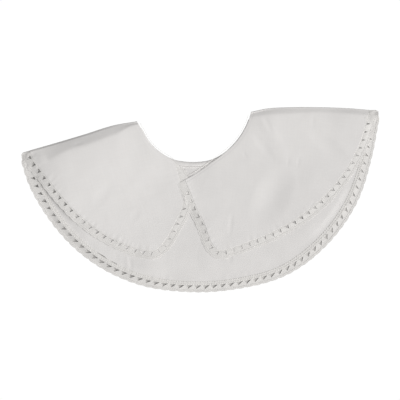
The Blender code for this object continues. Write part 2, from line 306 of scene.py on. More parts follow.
def woven_cotton(name, colour, shade, grain):
    """Plain-woven cotton: matt, slightly fuzzy, with slubs along both threads and a faintly uneven white."""
    material = bpy.data.materials.new(name)
    material.use_nodes = True
    shader = material.node_tree.nodes["Principled BSDF"]
    shader.inputs["Roughness"].default_value = 0.88
    shader.inputs["IOR"].default_value = 1.53
    shader.inputs["Specular IOR Level"].default_value = 0.3
    shader.inputs["Sheen Weight"].default_value = 0.08
    shader.inputs["Sheen Roughness"].default_value = 0.6
    place = add_node(material, "ShaderNodeTexCoord")
    along = add_node(
        material,
        "ShaderNodeMapping",
        {"Rotation": (0.0, 0.0, math.radians(grain))},
        {"Vector": place.outputs["Object"]},
    )
    slub_size = 1.6  # the thick places of a thread are 1.6 mm across and 14 times as long
    slubs = []
    for stretch in ((1.0, 1 / 14, 1.0), (1 / 14, 1.0, 1.0)):
        thread = add_node(
            material, "ShaderNodeMapping", {"Scale": stretch}, {"Vector": along.outputs["Vector"]}
        )
        slubs.append(
            add_node(
                material,
                "ShaderNodeTexNoise",
                {"Scale": 1 / (slub_size * MM), "Detail": 2.0},
                {"Vector": thread.outputs["Vector"]},
            )
        )
    slub = add_node(
        material,
        "ShaderNodeMix",
        {"data_type": "FLOAT"},
        {"A": slubs[0].outputs["Fac"], "B": slubs[1].outputs["Fac"]},
    )
    spacing = 0.8  # the threads are 0.4 mm apart, drawn at 0.8 mm to show at all from this far
    threads = []
    for direction in ("X", "Y"):
        threads.append(
            add_node(
                material,
                "ShaderNodeTexWave",
                {"bands_direction": direction, "Scale": math.pi / 10 / (spacing * MM), "Distortion": 0.6,
                 "Detail Scale": 0.4},
                {"Vector": along.outputs["Vector"]},
            )
        )
    weave = add_node(
        material,
        "ShaderNodeMath",
        {"operation": "MULTIPLY"},
        {0: threads[0].outputs["Fac"], 1: threads[1].outputs["Fac"]},
    )
    relief = add_node(
        material,
        "ShaderNodeMath",
        {"operation": "MULTIPLY_ADD", 1: 0.5},
        {0: weave.outputs[0], 2: slub.outputs[0]},
    )
    bump = add_node(
        material, "ShaderNodeBump", {"Strength": 0.3, "Distance": 0.04 * MM}, {"Height": relief.outputs[0]}
    )
    patches = add_node(
        material,
        "ShaderNodeTexNoise",
        {"Scale": 1 / (22.0 * MM), "Detail": 3.0},
        {"Vector": place.outputs["Object"]},
    )
    uneven = add_node(
        material,
        "ShaderNodeMath",
        {"operation": "MULTIPLY_ADD", 1: 0.6},
        {0: patches.outputs["Fac"], 2: slub.outputs[0]},
    )
    tone = add_node(
        material, "ShaderNodeMapRange", {"From Min": 0.55, "From Max": 1.05}, {"Value": uneven.outputs[0]}
    )
    white = add_node(
        material,
        "ShaderNodeMix",
        {"data_type": "RGBA", 6: linear(shade), 7: linear(colour)},
        {0: tone.outputs["Result"]},
    )
    material.node_tree.links.new(white.outputs[2], shader.inputs["Base Color"])
    material.node_tree.links.new(bump.outputs["Normal"], shader.inputs["Normal"])
    return material


back_neck = through(NECK_EDGE)
back_hem = through(HEM_EDGE)
folds = {side: Fold(points) for side, points in FOLD_LINES.items()}

BACK_ACROSS, BACK_ALONG = 120, 260  # points from the neck to the hem, and from seam to seam

inset = SEAM_INSET + SEAM_GAP
held = 1.0 - loose_seam(back_hem)[:, None]
under_lace = back_hem + square_to(back_hem, -1) * HEM_UNDER_LACE * held
first = folds["left"].section(back_neck, under_lace, inset, BACK_ACROSS)
last = folds["right"].section(back_neck[::-1], under_lace[::-1], inset, BACK_ACROSS)
shares = np.linspace(0.0, 1.0, BACK_ALONG)
edges = []
for line in (back_neck, under_lace):
    begin = folds["left"].leave(line, inset)
    finish = lengths_along(line)[-1] - folds["right"].leave(line[::-1], inset)
    edges.append(at_lengths(line, begin + (finish - begin) * shares))
back_places = patch(first, last, *edges)


def back_level(places):
    """back_form with the creases, the crumpling and the gathers beside the lace."""
    level = back_form(places) + waves(places, BACK_CREASES)
    level = level + crumple(places, size=26.0, height=0.3, seed=3.0)
    level = level + crumple(places, size=11.0, height=0.06, seed=5.0)
    level = level + puckers(back_hem, places, reach=9.0, height=0.2, seed=2.0)
    return np.maximum(level, LOWEST)


cotton_inner = woven_cotton("Plain-woven cotton, inner side", "#E8E6E5", "#E4E2E1", 4.0)
back = cloth("back_cloth", with_level(back_places, back_level(back_places)), cotton_inner)
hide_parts("back_panel")

# The neck binding
# A narrow strip of the same cotton, turned over the raw neck edge of the back and sewn down on its inner
# side. Between the fronts it is fuller than the cloth beside it, so that it catches the light as a pale band.

BINDING_WIDTH = 7.0
# Across the strip, from its edge under the cloth over the neck edge to its sewn edge: distance in, and height
BINDING_PROFILE = (
    (3.0, -0.16), (1.0, -0.17), (0.0, -0.1), (-0.35, 0.08), (-0.25, 0.25), (0.1, 0.38), (0.8, 0.45),
    (2.0, 0.46), (3.2, 0.45), (4.2, 0.44), (5.0, 0.36), (5.6, 0.42), (6.4, 0.38), (BINDING_WIDTH, 0.3),
)
BINDING_CROWN = 0.4  # what is higher than this in the profile is the crown
# How much fuller the crown is between the two fronts, where it shows: place along X, and rise
BINDING_FULLER = ((-38.0, 0.0), (-26.0, 0.45), (4.0, 0.45), (14.0, 0.0))
BINDING_ALONG = 180  # points

binding_line = at_lengths(back_neck, np.linspace(
    folds["left"].leave(back_neck, inset),
    lengths_along(back_neck)[-1] - folds["right"].leave(back_neck[::-1], inset),
    BINDING_ALONG,
))
into_cloth = square_to(binding_line, -1)
rows = []
for distance, rise in BINDING_PROFILE:
    places = binding_line + into_cloth * distance
    uneven = crumple(places, size=9.0, height=0.08, seed=9.0) if rise > BINDING_CROWN else 0.0
    fuller = np.interp(places[:, 0], *zip(*BINDING_FULLER)) if rise > BINDING_CROWN else 0.0
    rows.append(with_level(places, BACK_LEVEL + rise + fuller + uneven))
cotton_tape = woven_cotton("Cotton binding strip", "#E8E6E5", "#E4E2E1", 45.0)
binding = cloth("neck_binding", np.array(rows), cotton_tape)
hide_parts("back_neck_binding")

# The lace along the hem
# Machine-made cotton edging in one strip: a ribbed header, a row of slanting holes with fans between them,
# and a dense outer band with a scallop at each fan. It is sewn on the cloth, so that its header shows here.

LACE_REPEAT = 10.6
LACE_WIDTH = 14.5  # 10.9 of it shows beside a front, whose cloth covers the rest
LACE_THICKNESS = 0.5
FRONT_LACE_SHOWN = 10.9
SCALLOP_DEPTH = 0.9
# How much wider or narrower it lies along the hem: share of the hem, and width
HEM_LACE_WIDER = (
    (0.0, 2.2), (0.05, 1.9), (0.11, 0.8), (0.2, 0.8), (0.3, 0.2), (0.42, -0.7), (0.6, -0.5), (0.68, 0.4),
    (0.84, 0.3), (0.91, -0.6), (0.96, 0.2), (1.0, 1.6),
)
HOLE_TIP, HOLE_BASE = 4.8, 9.5  # depth in from the outer edge
# Share along the hem, and where the base of a hole there starts and ends, as shares of a repeat
HEM_HOLES = (
    (0.0, 0.26, 0.74), (0.14, 0.24, 0.76), (0.24, 0.1, 0.9), (0.6, 0.08, 0.92), (0.75, 0.2, 0.8),
    (0.85, 0.32, 0.68), (1.0, 0.36, 0.64),
)
HEM_HOLE_TIP = 0.3  # where the tip of a hole is, as a share of a repeat
HEM_PLAIN = (1, 1)  # repeats without a hole at the two folds
UNEVEN_BASE, UNEVEN_TIP = 0.05, 0.5  # of the holes, in shares of a repeat and in depth
LEAN_LENGTH = 14.0  # from the two ends of a stretch, over which the lace comes to slant along the fold
FAN_RIDGES, RIDGE_COLUMNS, RIDGE_HEIGHT = 7, 4, 0.035
BAND_ROWS, LEG_ROWS = 7, 8  # of points, outside the tips of the holes and beside them
WEFT, WEFT_SPACING = 0.35, 0.8  # how much it cuts into the ridges, as a share of them, and its spacing
FLAT_RIM = 0.6  # the ridges fade out this near the outer edge
UNDER_HEADER = 0.3  # the fans reach this far under the header
HEADER_RIBS, RIB_ROWS, RIB_HEIGHT = 4, 5, 0.03
HEADER_COLUMNS = 8  # to a repeat
HEADER_LAP = 0.2  # of the header over the fans
EDGE_THIN, THIN_SHARE = 0.05, 0.25  # the inner edge of the header is this much lower, over this share of it
EDGE_CORD, HOLE_CORD, HEADER_CORD, BAND_CORD = 0.17, 0.22, 0.18, 0.176  # radii
EDGE_SUNK, HOLE_SUNK, HEADER_SUNK, BAND_RAISED = 0.13, 0.08, 0.1, 0.02  # their middles in the lace
BAND_CORD_IN = 2.6  # from the middle of a scallop
CORD_POINTS = 10  # to a repeat
LEG_POINTS = 6  # on each side of a hole


def lace_edges(line, side, width, start, end):
    """The inner and outer edge of lace beside a line, square to it and slanting at its two ends."""
    along = lengths_along(line)[:, None]
    to_start = 1.0 - smooth(along / LEAN_LENGTH)
    to_end = 1.0 - smooth((along[-1] - along) / LEAN_LENGTH)
    square = square_to(line, side)
    inner = line + square * SEAM_GAP
    out = unit(square * (1 - to_start) * (1 - to_end) + start * to_start + end * to_end)
    return inner, inner + out * width


def add_cord(bm, line, radius, sides=6):
    """A round cord along a line, with closed ends."""
    run = unit(np.gradient(line, axis=0))
    across = unit(np.cross(run, (0.0, 0.0, 1.0)))
    up = np.cross(across, run)
    rings = []
    for place, side, rise in zip(line, across, up):
        angles = [2 * math.pi * k / sides for k in range(sides)]
        ring = [place + radius * (math.cos(a) * side + math.sin(a) * rise) for a in angles]
        rings.append([bm.verts.new(point * MM) for point in ring])
    for ring, following in zip(rings, rings[1:]):
        for k in range(sides):
            bm.faces.new((ring[k - 1], ring[k], following[k], following[k - 1]))
    bm.faces.new(rings[0])
    bm.faces.new(reversed(rings[-1]))


class Lace:
    """A stretch of the edging. Places in it are repeats along it and the depth in from its outer edge."""

    def __init__(self, inner, outer, thickness, holes, tip, level_at, plain):
        self.inner, self.outer, self.thickness, self.level_at = inner, outer, thickness, level_at
        self.width = np.median(np.linalg.norm(inner - outer, axis=1))
        hole_row = outer + (inner - outer) * (HOLE_TIP + HOLE_BASE) / 2 / self.width
        self.along = lengths_along(hole_row)
        self.repeats = round(self.along[-1] / LACE_REPEAT)
        self.tip = tip
        self.bases = {}
        shares, *bases = zip(*holes)
        for k in range(plain[0], self.repeats - plain[1]):
            base = [np.interp((k + 0.5) / self.repeats, shares, ends) for ends in bases]
            self.bases[k] = [
                k + share + UNEVEN_BASE * noise.noise(Vector((k * 1.7, 9.0 * share, tip))) for share in base
            ]

    def tip_depth(self, k):
        return HOLE_TIP + UNEVEN_TIP * noise.noise(Vector((k * 1.3, 31.0, self.tip)))

    def points(self, repeat, depth, lift=0.0):
        """Points at these repeats and depths, which are arrays of one shape."""
        repeat, depth = np.broadcast_arrays(repeat, depth)
        at = repeat / self.repeats * self.along[-1]
        near = np.stack([np.interp(at, self.along, self.inner[:, k]) for k in (0, 1)], axis=-1)
        far = np.stack([np.interp(at, self.along, self.outer[:, k]) for k in (0, 1)], axis=-1)
        places = far + (near - far) * (depth / self.width)[..., None]
        return with_level(places, self.level_at(places, depth, repeat) + lift)

    def fan(self, k):
        """One fan and the outer band beside it, from the tip of one hole to the tip of the next."""
        columns = FAN_RIDGES * RIDGE_COLUMNS
        before = max(k - 1 + self.tip, 0.0)
        after = min(k + self.tip, self.repeats)
        band, legs = np.linspace(0.0, 1.0, BAND_ROWS)[:, None], np.linspace(0.0, 1.0, LEG_ROWS)[1:, None]
        across = np.linspace(0.0, 1.0, columns + 1)[None, :]
        shares = before + (after - before) * across
        scallop = SCALLOP_DEPTH * (2 * (shares % 1.0) - 1) ** 2
        tips = self.tip_depth(k - 1) * (1.0 - across) + self.tip_depth(k) * across
        band_depth = scallop + (tips - scallop) * band
        left_foot = self.bases[k - 1][1] if k - 1 in self.bases else before
        right_foot = self.bases[k][0] if k in self.bases else after
        left = before + (left_foot - before) * legs
        right = after + (right_foot - after) * legs
        legs_depth = tips + (HOLE_BASE + UNDER_HEADER - tips) * legs
        repeat = np.concatenate([np.broadcast_to(shares, band_depth.shape), left + (right - left) * across])
        depth = np.concatenate([band_depth, legs_depth])
        ridges = np.abs(np.sin(math.pi * FAN_RIDGES * across))
        weft = WEFT * np.sin(depth * math.pi / WEFT_SPACING)
        rim = smooth(depth / FLAT_RIM)
        width = np.concatenate([np.ones_like(band) * (after - before), right - left])
        relief = RIDGE_HEIGHT * ridges * (1 + weft) * rim * np.clip(width, 0.0, 1.0)
        return self.points(repeat, depth, relief)

    def header(self):
        """The ribbed band that is sewn to the cloth, thinner towards its inner edge."""
        columns = self.repeats * HEADER_COLUMNS + 1
        repeat = np.linspace(0.0, self.repeats, columns)[None, :]
        depth = np.linspace(HOLE_BASE - HEADER_LAP, LACE_WIDTH, HEADER_RIBS * RIB_ROWS + 1)[:, None]
        share = (depth - depth[0]) / (depth[-1] - depth[0])
        ribs = RIB_HEIGHT * np.abs(np.sin(math.pi * HEADER_RIBS * share))
        ribs = ribs - EDGE_THIN * smooth((share - (1.0 - THIN_SHARE)) / THIN_SHARE)
        return self.points(repeat, depth, np.broadcast_to(ribs, (len(depth), columns)))

    def add_to(self, bm):
        """Builds the fans and the header as one thickness, and lays cords on their edges."""
        for k in range(self.repeats + 1):
            add_grid(bm, self.fan(k))
        bmesh.ops.remove_doubles(bm, verts=bm.verts, dist=0.01 * MM)
        add_grid(bm, self.header())
        under = bmesh.ops.extrude_face_region(bm, geom=bm.faces[:], use_keep_orig=True)["geom"]
        for vert in under:
            if isinstance(vert, bmesh.types.BMVert):
                vert.co.z -= self.thickness * MM
        bmesh.ops.recalc_face_normals(bm, faces=bm.faces)
        repeat = np.linspace(0.0, self.repeats, self.repeats * CORD_POINTS + 1)
        scallop = SCALLOP_DEPTH * (2 * (repeat % 1.0) - 1) ** 2
        header_edge = np.full_like(repeat, HOLE_BASE + HEADER_CORD)
        add_cord(bm, self.points(repeat, scallop + 2 * EDGE_CORD, -EDGE_SUNK), EDGE_CORD)
        add_cord(bm, self.points(repeat, header_edge, -HEADER_SUNK), HEADER_CORD)
        add_cord(bm, self.points(repeat, scallop / 2 + BAND_CORD_IN, BAND_RAISED), BAND_CORD)
        for k, (start, end) in self.bases.items():
            tip, top = k + self.tip, self.tip_depth(k) - HOLE_CORD
            down = np.linspace(0.0, 1.0, LEG_POINTS)
            repeats = np.r_[start + (tip - start) * down, (tip + (end - tip) * down)[1:]]
            depths = np.r_[HOLE_BASE + (top - HOLE_BASE) * down, (top + (HOLE_BASE - top) * down)[1:]]
            add_cord(bm, self.points(repeats, depths, -HOLE_SUNK), HOLE_CORD)


def cotton_yarn(name, colour, shade):
    """Mercerised cotton yarn, worked tight: matt with a slight gloss, its twisted threads as fine relief."""
    material = bpy.data.materials.new(name)
    material.use_nodes = True
    shader = material.node_tree.nodes["Principled BSDF"]
    shader.inputs["Roughness"].default_value = 0.8
    shader.inputs["IOR"].default_value = 1.53
    shader.inputs["Sheen Weight"].default_value = 0.08
    place = add_node(material, "ShaderNodeTexCoord")
    twist = add_node(
        material,
        "ShaderNodeTexWave",
        {"bands_direction": "DIAGONAL", "Scale": math.pi / 10 / (0.7 * MM), "Distortion": 3.0,
         "Detail Scale": 1.5},
        {"Vector": place.outputs["Object"]},
    )
    fuzz = add_node(
        material, "ShaderNodeTexNoise", {"Scale": 1 / (1.1 * MM), "Detail": 3.0},
        {"Vector": place.outputs["Object"]},
    )
    relief = add_node(
        material, "ShaderNodeMath", {"operation": "ADD"}, {0: twist.outputs["Fac"], 1: fuzz.outputs["Fac"]}
    )
    bump = add_node(
        material, "ShaderNodeBump", {"Strength": 0.25, "Distance": 0.02 * MM}, {"Height": relief.outputs[0]}
    )
    tone = add_node(
        material, "ShaderNodeMapRange", {"From Min": 0.3, "From Max": 0.7}, {"Value": fuzz.outputs["Fac"]}
    )
    white = add_node(
        material,
        "ShaderNodeMix",
        {"data_type": "RGBA", 6: linear(shade), 7: linear(colour)},
        {0: tone.outputs["Result"]},
    )
    material.node_tree.links.new(white.outputs[2], shader.inputs["Base Color"])
    material.node_tree.links.new(bump.outputs["Normal"], shader.inputs["Normal"])
    return material


HEADER_ON_CLOTH = 0.07  # top of the header above the cloth
RESTING = 0.06  # gap under the outer band
ON_TABLE, TO_CLOTH = 3.0, 8.0  # this much of its width lies on the table, and it rises to the cloth over this
HEM_FLUTTER, FLUTTER_PACE = 0.1, 2.3  # of the outer band, and how quickly it changes, in radians to a repeat
# How far the outer band is lifted off the table, beside the left fold: share of the hem, and rise
BAND_LIFT = ((0.0, 0.6), (0.02, 1.7), (0.08, 1.5), (0.14, 0.0), (1.0, 0.0))


def hem_lace_level(places, depth, repeat):
    """The header lies on the cloth, and the outer band on the table."""
    on_cloth = smooth((depth - ON_TABLE) / TO_CLOTH)
    flutter = HEM_FLUTTER * np.sin(repeat * FLUTTER_PACE)
    header = back_level(places) + CLOTH / 2 + HEADER_ON_CLOTH
    lifted = np.interp(beside(back_hem, places)[1] / lengths_along(back_hem)[-1], *zip(*BAND_LIFT))
    band = LACE_THICKNESS + RESTING + lifted + flutter
    return header * on_cloth + band * (1.0 - on_cloth)


begin = folds["left"].leave(back_hem, inset)
finish = lengths_along(back_hem)[-1] - folds["right"].leave(back_hem[::-1], inset)
hem_line = at_lengths(back_hem, np.linspace(begin, finish, FINE))
inner, outer = lace_edges(hem_line, -1, LACE_WIDTH, folds["left"].along, folds["right"].along)
hem_share = beside(back_hem, hem_line)[1] / lengths_along(back_hem)[-1]
wider = np.interp(hem_share, *zip(*HEM_LACE_WIDER))
outer = outer + unit(outer - inner) * wider[:, None]
inner = inner + square_to(hem_line, -1) * SLIT * loose_seam(hem_line)[:, None]
lace_yarn = cotton_yarn("Cotton lace yarn", "#E8E6E4", "#DDDBD9")
lace = Lace(inner, outer, LACE_THICKNESS, HEM_HOLES, HEM_HOLE_TIP, hem_lace_level, HEM_PLAIN)
bm = bmesh.new()
lace.add_to(bm)
hem_lace = piece("hem_lace", bm, lace_yarn, sharp=70.0)
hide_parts("back_lace")

# The fronts
# Two panels of the same cotton with rounded tips. Each is seamed to the back at the shoulder and folded over
# it in a soft roll, so that its outer side is up. The neck corner of the right one laps over the left.

FRONT_LEVEL = 1.8  # of the middle of the cloth above the table, where it lies flat
FOLD_RADIUS = (FRONT_LEVEL - BACK_LEVEL) / 2
FULL_FOLD, FULL_FOLD_SHARE = 0.3, 0.25  # the fold is this much fuller at the neck, over this share of it
LAP_RISE, LAP_REACH = 0.5, 18.0  # of the right front where it lies on the left
EDGE_ROUND, EDGE_ROUND_REACH = 0.3, 1.5  # the turned neck edges are this much lower at the very edge
GROOVE, GROOVE_REACH = 0.18, 0.9  # depth of the line of stitching, and half its width
STITCHES_IN = 2.4  # from the neck edge to that line
OFF_FOLD = 6.0  # the creases start within this distance of a fold
# Low waves of both fronts, in the columns of the back's
FRONT_WAVES = (
    (-165.0, 0.0, 130.0, 150.0, -52.0, 2.3),
    (-172.0, 24.0, 36.0, 27.0, 66.0, -0.42),
    (140.0, -12.0, 85.0, 55.0, 50.0, 0.8),
    (-10.0, 36.0, 42.0, 30.0, -60.0, -0.55),
)
LEAST_GAP = 0.8  # between the middles of a front and of the back
BRIDGING = 0.4  # how softly the fronts bridge the waves of the back
ROLL_SMOOTHING = (-0.06, -0.03, 0.0, 0.03, 0.06)  # the roll's table is averaged over these shares
CROWN_ROUND = 0.02  # how round a roll's crown is
FRONT_ACROSS = 130  # points from the neck to the outer edge
UNDER_ROWS, ARC_ROWS = 6, 9  # of points, under a fold and round it
ROLL_STEP, ROLL_END = 1.0, 24.0  # beside the fold the rows are this close, to this distance

# For each front: its edges, and
# roll: share along the fold from the neck, distance of the roll's crown from the fold, and its rise
# roll_fade: how far in from its crown the roll has died out
# creases: in the columns of the back's
# wider: how much wider its lace lies, by the share of it from the fold
# sag: the most that the outer edge of its lace sags, by the nearness of the fold, which is 1 beside it
# holes, hole_tip, plain: as for the hem, from the fold
# sections: rows of points from the roll to the opening edge
FRONTS = {
    "left": {
        "side": -1,
        "neck": ((-78.8, 98.0), (-71.9, 86.9), (-62.5, 71.2), (-50.0, 59.4), (-37.5, 51.6), (-31.0, 46.4)),
        "outer": (
            (-213.0, 61.6), (-207.5, 51.5), (-196.5, 36.2), (-170.5, 3.0), (-141.5, -25.8), (-106.5, -48.3),
            (-66.2, -62.2),
        ),
        "tip": (-56.2, -62.5),
        "opening": (
            (-48.8, -56.6), (-42.5, -48.1), (-33.8, -32.5), (-25.0, -15.0), (-20.6, 1.2), (-23.6, 17.5),
            (-27.8, 33.0), (-31.0, 46.4),
        ),
        "roll": (
            (0.0, 3.0, 1.4), (0.1, 5.0, 2.1), (0.14, 8.0, 2.5), (0.18, 11.5, 2.8), (0.3, 12.0, 3.2),
            (0.5, 13.5, 3.7), (0.63, 12.0, 3.5), (0.75, 14.5, 3.5), (0.84, 17.5, 2.6), (0.92, 20.0, 1.7),
            (1.0, 21.0, 0.6),
        ),
        "roll_fade": 95.0,
        "creases": (
            (-146.0, 17.0, 24.0, 12.0, 22.0, -0.15),
            (-122.0, 6.0, 22.0, 10.0, 55.0, -0.2),
            (-81.0, -19.0, 12.0, 7.0, 60.0, -0.15),
            (-188.0, 30.0, 8.0, 2.5, 35.0, 0.15),
            (-180.0, 26.0, 9.0, 2.5, 40.0, 0.12),
            (-199.0, 53.0, 12.0, 8.0, -35.0, 0.55),
            (-152.0, 70.0, 9.0, 2.5, 15.0, -0.2),
            (-68.0, 62.0, 60.0, 30.0, 90.0, 0.45),
        ),
        "wider": ((0.0, 1.5), (0.03, 3.0), (0.09, 0.0), (1.0, 0.0)),
        "sag": ((0.0, 0.3), (0.2, 0.8), (0.7, 1.2), (1.0, 1.4)),
        "plain": (0, 2),
        "holes": (
            (0.0, 0.24, 0.76), (0.2, 0.22, 0.78), (0.4, 0.14, 0.86), (0.58, 0.12, 0.88), (0.66, 0.34, 0.66),
            (1.0, 0.3, 0.7),
        ),
        "hole_tip": 0.64,
        "sections": 150,
    },
    "right": {
        "side": 1,
        "neck": (
            (63.8, 109.8), (59.4, 96.2), (51.2, 80.9), (41.2, 68.4), (27.5, 56.5), (15.0, 47.5), (-0.9, 35.9),
            (-18.6, 25.4),
        ),
        "outer": (
            (211.5, 112.3), (208.0, 101.0), (199.0, 71.0), (188.1, 48.8), (163.1, 14.1), (130.4, -15.5),
            (95.8, -36.6), (58.8, -52.4), (40.0, -59.0),
        ),
        "tip": (21.9, -61.9),
        "opening": (
            (16.2, -55.6), (11.2, -45.0), (5.0, -27.5), (-3.1, -11.9), (-10.0, 4.4), (-18.6, 25.4),
        ),
        "roll": (
            (0.0, 6.0, 1.3), (0.15, 8.0, 2.2), (0.3, 8.0, 2.0), (0.5, 6.5, 1.4), (0.7, 6.0, 1.4),
            (0.85, 7.0, 2.2), (1.0, 7.0, 2.2),
        ),
        "roll_fade": 60.0,
        "creases": (
            (79.0, 67.0, 26.0, 8.0, -52.0, -0.3),
            (91.0, 79.0, 26.0, 11.0, -52.0, 0.35),
            (84.0, 95.0, 16.0, 5.0, -62.0, -0.22),
            (110.0, 48.0, 8.0, 3.0, 80.0, -0.13),
            (123.0, 48.0, 9.0, 3.2, 80.0, -0.13),
            (56.0, 56.0, 7.0, 3.0, -50.0, -0.14),
            (141.0, 98.0, 14.0, 4.0, 88.0, -0.1),
            (160.0, 68.0, 36.0, 12.0, -40.0, -0.5),
            (90.0, 3.0, 44.0, 25.0, 62.0, -0.85),
            (38.5, -30.0, 18.0, 4.5, 84.0, -0.18),
            (140.0, -6.0, 8.0, 2.8, 60.0, -0.12),
        ),
        "wider": ((0.0, 2.0), (0.03, 1.5), (0.06, 0.0), (0.96, 0.0), (1.0, 3.8)),
        "sag": ((0.0, 0.7), (1.0, 0.5)),
        "plain": (1, 1),
        "holes": (
            (0.0, 0.4, 0.6), (0.12, 0.36, 0.64), (0.25, 0.26, 0.74), (0.74, 0.26, 0.74), (0.8, 0.22, 0.78),
            (1.0, 0.22, 0.78),
        ),
        "hole_tip": 0.36,
        "sections": 170,
    },
}


def on_left_front(places, reach):
    """1 on the left front, falling to 0 this far outside it."""
    flat = places.reshape(-1, 1, 2)
    start, end = left_outline, np.roll(left_outline, -1, axis=0)
    spanned = (start[:, 1] > flat[..., 1]) != (end[:, 1] > flat[..., 1])
    steep = np.where(start[:, 1] == end[:, 1], 1.0, end[:, 1] - start[:, 1])
    crossing = start[:, 0] + (flat[..., 1] - start[:, 1]) * (end[:, 0] - start[:, 0]) / steep
    inside = (spanned & (flat[..., 0] < crossing)).sum(axis=1) % 2 == 1
    away = beside(left_outline, places)[0]
    return np.where(inside.reshape(away.shape), 1.0, 1.0 - smooth(away / reach))


def front_level(side, places):
    """Height of the middle of a front's cloth above the table, without its small creases."""
    fold = folds[side]
    inward = fold.distance(places)
    shares, crowns, rises = (np.array(column) for column in zip(*FRONTS[side]["roll"]))
    share = fold.share(places)
    crown = sum(np.interp(share + shift, shares, crowns) for shift in ROLL_SMOOTHING) / len(ROLL_SMOOTHING)
    rise = sum(np.interp(share + shift, shares, rises) for shift in ROLL_SMOOTHING) / len(ROLL_SMOOTHING)
    t = np.clip((inward - FOLD_RADIUS) / (crown - FOLD_RADIUS), 0.0, 3.0)
    up = (t + 1.0 - np.sqrt((t - 1.0) ** 2 + CROWN_ROUND)) / 2
    roll = rise * up * (1.0 - smooth((inward - crown) / FRONTS[side]["roll_fade"]))
    own, carried = FRONT_LEVEL + waves(places, FRONT_WAVES), back_form(places) + LEAST_GAP
    level = (own + carried + np.sqrt((own - carried) ** 2 + BRIDGING**2) - BRIDGING) / 2 + roll
    if side == "right":
        level = level + LAP_RISE * on_left_front(places, LAP_REACH)
    return level


def front_cloth_level(side, places):
    """front_level with the creases, the gathers beside the lace and the groove of the neck's stitching."""
    seed = 11.0 if side == "left" else 23.0
    small = waves(places, FRONTS[side]["creases"])
    small = small + crumple(places, size=30.0, height=0.25, seed=seed)
    small = small + crumple(places, size=12.0, height=0.05, seed=seed + 1)
    small = small + puckers(rims[side], places, reach=9.0, height=0.25, seed=seed + 2)
    neck_away = beside(necks[side], places)[0]
    groove = GROOVE * np.clip(1.0 - ((neck_away - STITCHES_IN) / GROOVE_REACH) ** 2, 0.0, 1.0)
    round_edge = EDGE_ROUND * (1.0 - smooth(neck_away / EDGE_ROUND_REACH))
    off_fold = smooth(folds[side].distance(places) / OFF_FOLD)
    return front_level(side, places) + (small - round_edge) * off_fold - groove


necks = {side: through(front["neck"]) for side, front in FRONTS.items()}
rims = {
    side: through(front["outer"] + (front["tip"],) + front["opening"])
    for side, front in FRONTS.items()
}
left_outline = np.concatenate([necks["left"], rims["left"][::-1]])
neck_from = {"left": back_neck, "right": back_neck[::-1]}
hem_from = {"left": back_hem, "right": back_hem[::-1]}


def fold_radius(side, places):
    return FOLD_RADIUS + FULL_FOLD * (1.0 - smooth(folds[side].share(places) / FULL_FOLD_SHARE))


def fold_arc(radius):
    """The middle of the cloth round a fold: distances from the fold, and heights."""
    for angle in np.linspace(-math.pi / 2, math.pi / 2, ARC_ROWS):
        yield radius * (1 - math.cos(angle)), BACK_LEVEL + radius * (1 + math.sin(angle))


def front_rows(side):
    """A front from its shoulder seam, under the fold and over it, to its opening edge."""
    fold, neck, rim = folds[side], necks[side], rims[side]
    rows = []
    for inward in np.linspace(SEAM_INSET, FOLD_RADIUS + FULL_FOLD, UNDER_ROWS)[:-1]:
        places = fold.section(neck_from[side], hem_from[side], inward, FRONT_ACROSS)
        rows.append(with_level(places, BACK_LEVEL))
    beside_fold = fold.section(neck, rim, FOLD_RADIUS, FRONT_ACROSS)
    for inward, level in fold_arc(fold_radius(side, beside_fold)):
        rows.append(with_level(beside_fold + (inward - FOLD_RADIUS)[:, None] * fold.inward, level))
    for inward in np.arange(FOLD_RADIUS + FULL_FOLD + ROLL_STEP / 2, ROLL_END + ROLL_STEP / 2, ROLL_STEP):
        places = fold.section(neck, rim, inward, FRONT_ACROSS)
        rows.append(with_level(places, front_cloth_level(side, places)))
    last_roll = rows[-1][:, :2]
    neck_end, rim_end = lengths_along(neck)[-1], lengths_along(rim)[-1]
    to_tip = np.linalg.norm(rim - np.array(FRONTS[side]["tip"]), axis=1)
    tip = lengths_along(rim)[int(np.argmin(to_tip))]
    shares = np.linspace(0.0, 1.0, FRONTS[side]["sections"])
    start = at_lengths(neck, fold.leave(neck, inward) * (1 - shares) + neck_end * shares)
    crowded = (shares + np.sin(shares * math.pi / 2)) / 2  # closer towards the tip
    end = at_lengths(rim, fold.leave(rim, inward) * (1 - crowded) + tip * crowded)
    opening = at_lengths(rim, rim_end + (tip - rim_end) * np.linspace(0.0, 1.0, FRONT_ACROSS))
    places = patch(last_roll, opening, start, end)[1:]
    return np.concatenate([np.array(rows), with_level(places, front_cloth_level(side, places))])


GRAINS = {"left": -14.0, "right": 6.0}  # degrees from straight across
for side in FRONTS:
    cotton = woven_cotton(f"Plain-woven cotton, {side} front", "#E9E7E6", "#E5E3E2", GRAINS[side])
    front = cloth(f"{side}_front_cloth", front_rows(side), cotton)
    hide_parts(f"{side}_front")

# The lace of the fronts
# The same edging goes on round each front, over the shoulder fold, round the tip and up the opening edge to
# the neck corner. Its header is sewn under the cloth, so that only the fans and the outer band show.

FRONT_LACE_THICKNESS = 0.3  # it lies over other layers, and is pressed flatter
PLAIN_LACE = 3.0  # the lace has no hole this near a shoulder fold
LACE_REST = 0.35  # top of the lace above what it rests on
LEFT_FRONT_STACK, STACK_REACH = 1.0, 12.0  # of the left front and its lace above the back, and outside it
CORNER = 3.4  # the lace is this much narrower where it turns round a fold
SAG_EDGE, SAG_REACH = 1.0, 9.0  # its outermost part sags most, and the rest less and less over this distance
BY_FOLD, FOLD_REACH = 15.0, 35.0  # this near a fold the lace is at its loosest, and less and less over this
LACE_FLUTTER = 0.15
LACE_PACE, PACE_DRIFT, DRIFT_PACE = 1.7, 0.8, 0.6  # how the flutter changes, in radians to a repeat
WRAP_COLUMNS = 30

